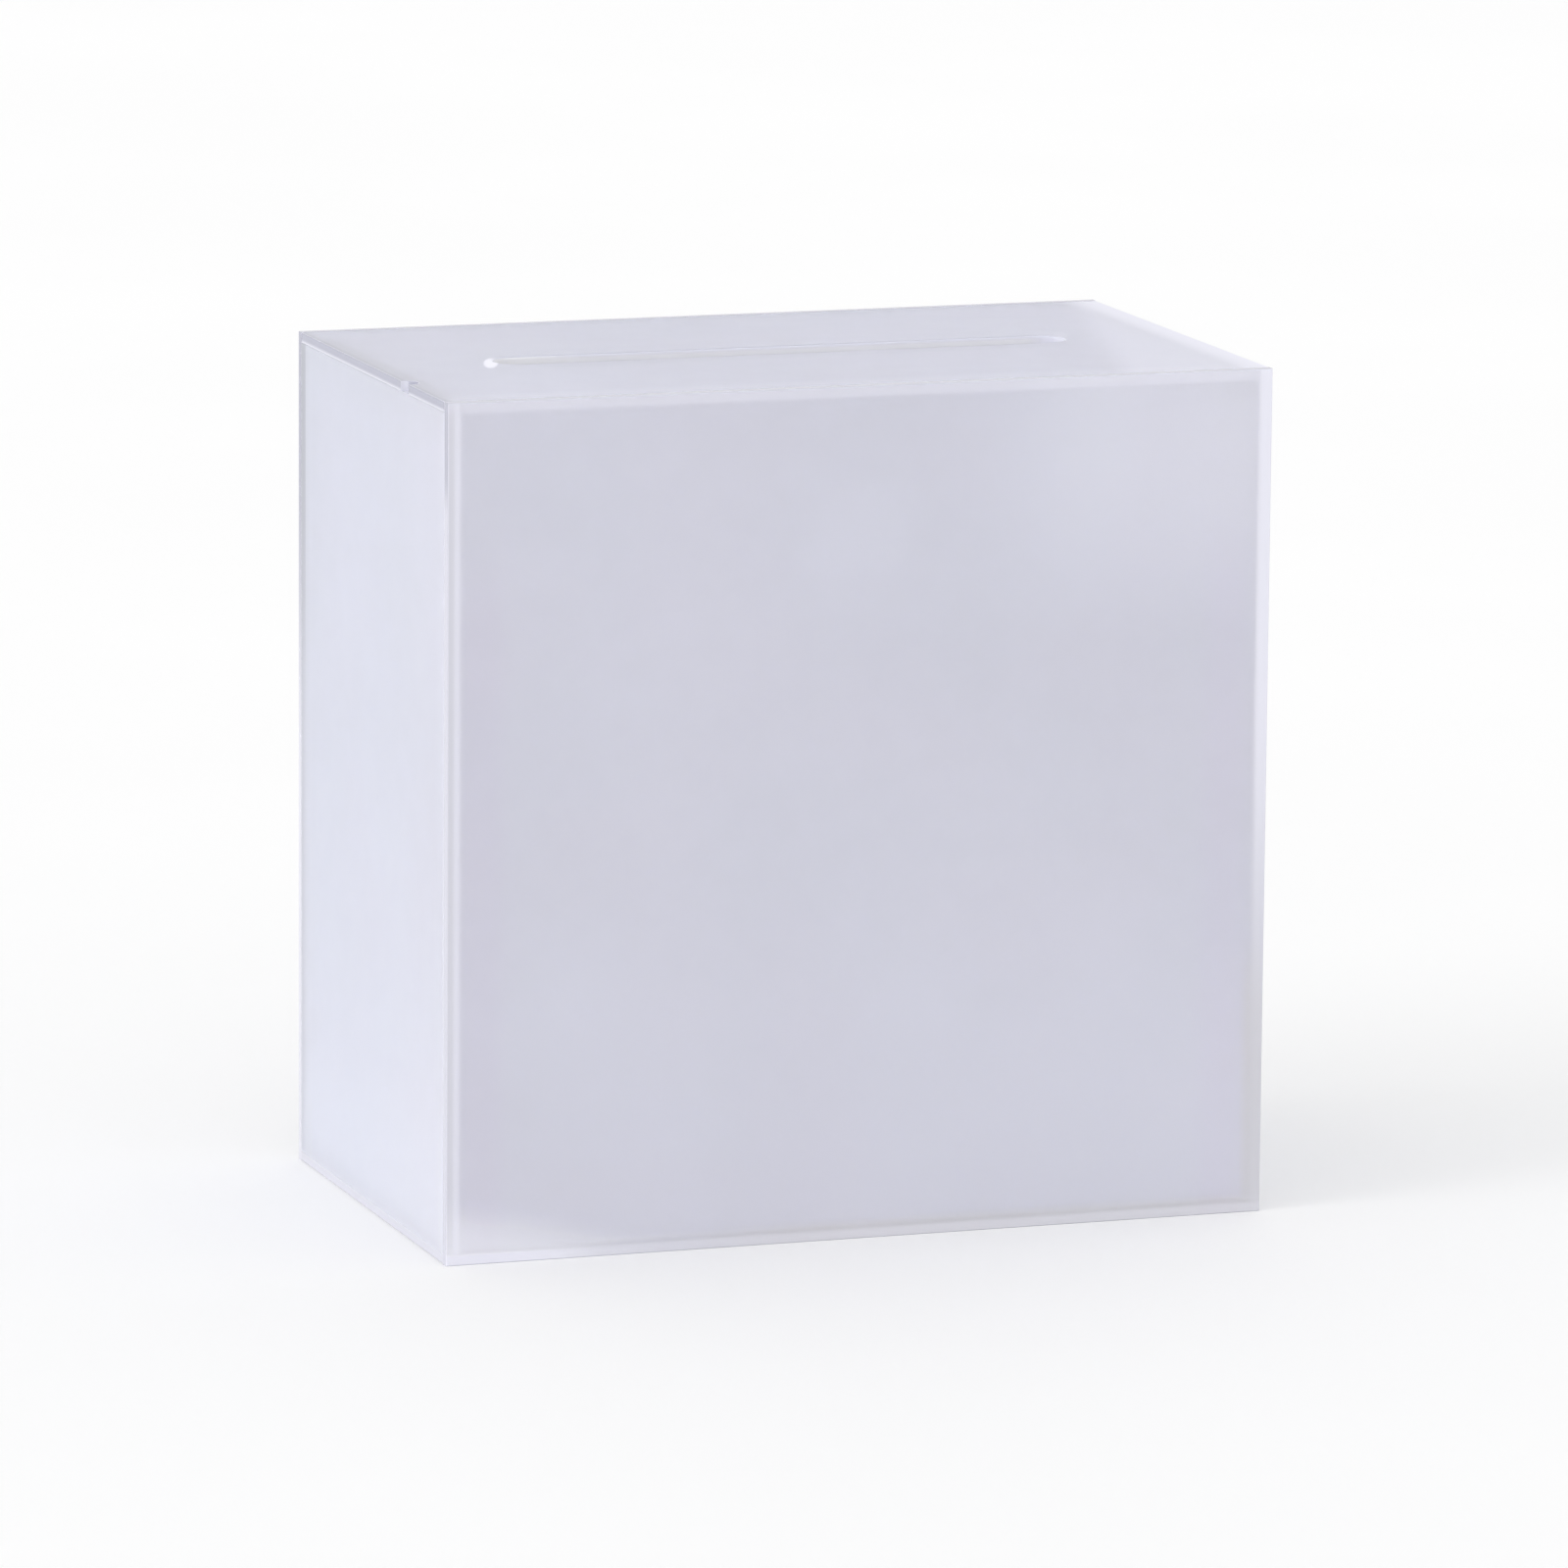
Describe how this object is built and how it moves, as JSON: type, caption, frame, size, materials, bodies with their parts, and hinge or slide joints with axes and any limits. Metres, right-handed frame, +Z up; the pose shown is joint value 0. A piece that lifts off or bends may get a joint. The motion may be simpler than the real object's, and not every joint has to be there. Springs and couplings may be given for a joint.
{
  "type": "slotted acrylic display box",
  "caption": "Frosted acrylic sheet box with a long rounded slot in its lift-off lid, for cards, ballots or donations on a display table.",
  "frame": {"origin": "middle of the footprint, on the surface the box stands on", "axes": "+Z up; -Y is the front; +X is the right-hand side seen from the front"},
  "size_m": [0.25, 0.15, 0.25],
  "materials": {
    "frosted_acrylic": "satin",
    "clear_acrylic": "polished"
  },
  "bodies": {
    "case": {"front_panel": "frosted_acrylic", "back_panel": "frosted_acrylic", "left_panel": "frosted_acrylic", "right_panel": "frosted_acrylic", "bottom_panel": "frosted_acrylic"},
    "lid": {"lid_panel": "frosted_acrylic", "lid_strip_left": "clear_acrylic", "lid_strip_right": "clear_acrylic"}
  },
  "joints": [
    {"name": "lid_lift", "type": "slide", "parent": "case", "child": "lid", "axis": [0, 0, 1], "range_m": [0, 0.1]}
  ]
}
